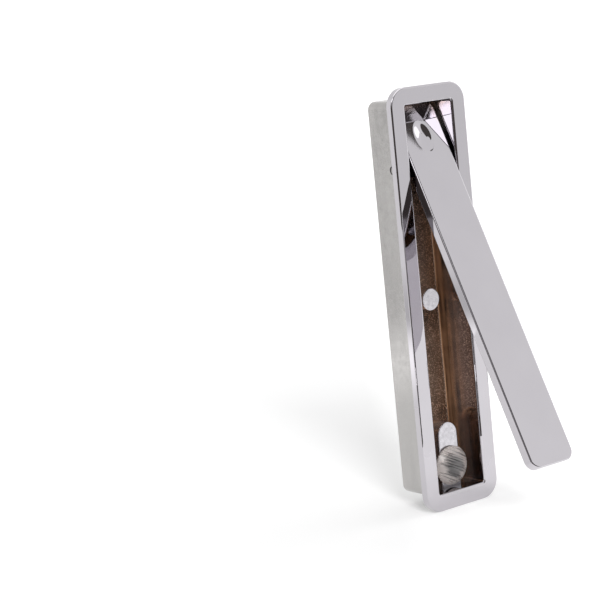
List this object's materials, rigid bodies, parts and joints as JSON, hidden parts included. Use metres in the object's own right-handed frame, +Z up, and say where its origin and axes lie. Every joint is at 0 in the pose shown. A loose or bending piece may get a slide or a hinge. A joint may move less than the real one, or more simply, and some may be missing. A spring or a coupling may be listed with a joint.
{
  "type": "recessed push button handle",
  "caption": "Recessed furniture handle: a pivoting flap in a flanged tray tips out when its short end is pushed in, giving a grip to pull.",
  "frame": {"origin": "middle of the door cut-out, in the plane of the flange's rear face, where it meets the door", "axes": "+Z up along the handle towards the push end, +Y into the door, +X to the right as seen from the front"},
  "size_m": [0.026, 0.0524, 0.117],
  "materials": {
    "tray_chrome": "bright chrome plated die casting, bare and warmer inside",
    "flap_chrome": "polished bright chrome plate",
    "pin_steel": "plain ground steel",
    "washer_nylon": "black moulded plastic",
    "bumper_clear": "clear soft plastic"
  },
  "bodies": {
    "tray": {"tray": "tray_chrome", "pivot_pin": "pin_steel", "left_washer": "washer_nylon", "right_washer": "washer_nylon", "bumper": "bumper_clear"},
    "flap": {"flap": "flap_chrome"}
  },
  "joints": [
    {"name": "flap_pivot", "type": "hinge", "parent": "tray", "child": "flap", "pos_m": [0, 0.004, 0.0363], "axis": [-1, 0, 0], "range_deg": [-24.3, 9.5]}
  ]
}
